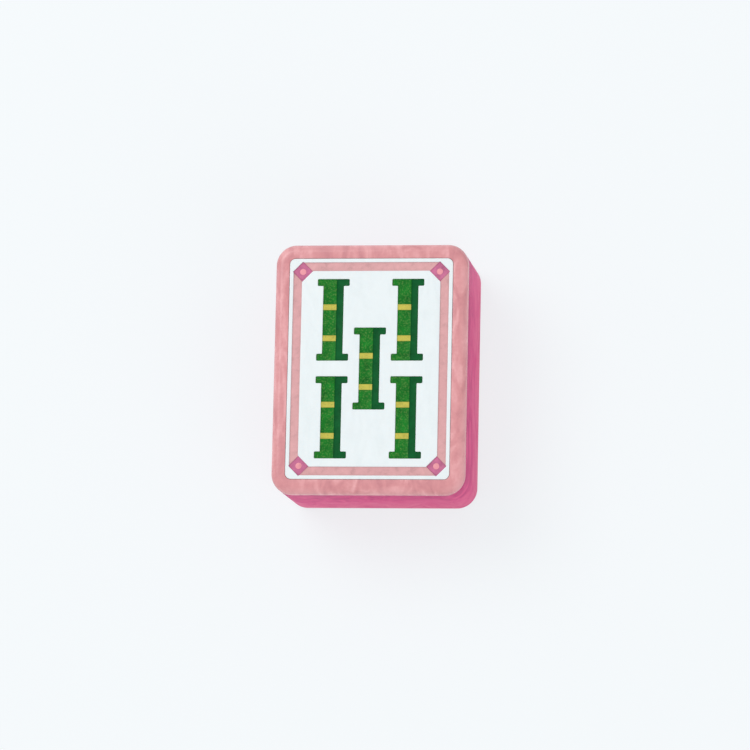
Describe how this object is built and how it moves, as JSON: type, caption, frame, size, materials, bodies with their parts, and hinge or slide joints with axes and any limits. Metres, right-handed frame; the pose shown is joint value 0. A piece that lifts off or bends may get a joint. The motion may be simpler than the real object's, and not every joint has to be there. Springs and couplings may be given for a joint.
{
  "type": "mahjong tile",
  "caption": "Mahjong tile showing a bamboo suit: white engraved and painted face block set in a coloured resin tray under a rounded salmon rim, with a frame line and corner diamonds",
  "frame": {"origin": "Middle of the back, the flat face that the tile rests on", "axes": "X is the tile's width, to the right as the face is read; Y is its height, towards the top of the figure; Z is its depth, out of the face, up"},
  "size_m": [0.0234, 0.0306, 0.015],
  "materials": {
    "rose_resin": "polished cast resin with a faint pearly mottle",
    "salmon_resin": "polished cast resin with a faint pearly mottle",
    "white_resin": "polished white cast resin",
    "salmon_paint": "satin paint fill in an engraved groove",
    "rose_paint": "satin paint fill in an engraved pocket",
    "pink_paint": "satin paint dot",
    "green_paint": "satin paint fill in an engraved pocket",
    "dark_green_paint": "satin paint fill in an engraved pocket",
    "yellow_paint": "satin paint band over the green fill"
  },
  "bodies": {
    "root": {"back_tray": "rose_resin", "front_rim": "salmon_resin", "face_block": "white_resin", "frame_line_top": "salmon_paint", "frame_line_bottom": "salmon_paint", "frame_line_left": "salmon_paint", "frame_line_right": "salmon_paint", "diamond_top_left": "rose_paint", "diamond_top_right": "rose_paint", "diamond_bottom_left": "rose_paint", "diamond_bottom_right": "rose_paint", "diamond_heart_top_left": "pink_paint", "diamond_heart_top_right": "pink_paint", "diamond_heart_bottom_left": "pink_paint", "diamond_heart_bottom_right": "pink_paint", "bamboo_top_left_green": "green_paint", "bamboo_top_left_shade": "dark_green_paint", "bamboo_top_left_upper_band": "yellow_paint", "bamboo_top_left_lower_band": "yellow_paint", "bamboo_top_right_green": "green_paint", "bamboo_top_right_shade": "dark_green_paint", "bamboo_top_right_upper_band": "yellow_paint", "bamboo_top_right_lower_band": "yellow_paint", "bamboo_bottom_left_green": "green_paint", "bamboo_bottom_left_shade": "dark_green_paint", "bamboo_bottom_left_upper_band": "yellow_paint", "bamboo_bottom_left_lower_band": "yellow_paint", "bamboo_bottom_right_green": "green_paint", "bamboo_bottom_right_shade": "dark_green_paint", "bamboo_bottom_right_upper_band": "yellow_paint", "bamboo_bottom_right_lower_band": "yellow_paint", "bamboo_middle_green": "green_paint", "bamboo_middle_shade": "dark_green_paint", "bamboo_middle_upper_band": "yellow_paint", "bamboo_middle_lower_band": "yellow_paint"}
  },
  "joints": []
}
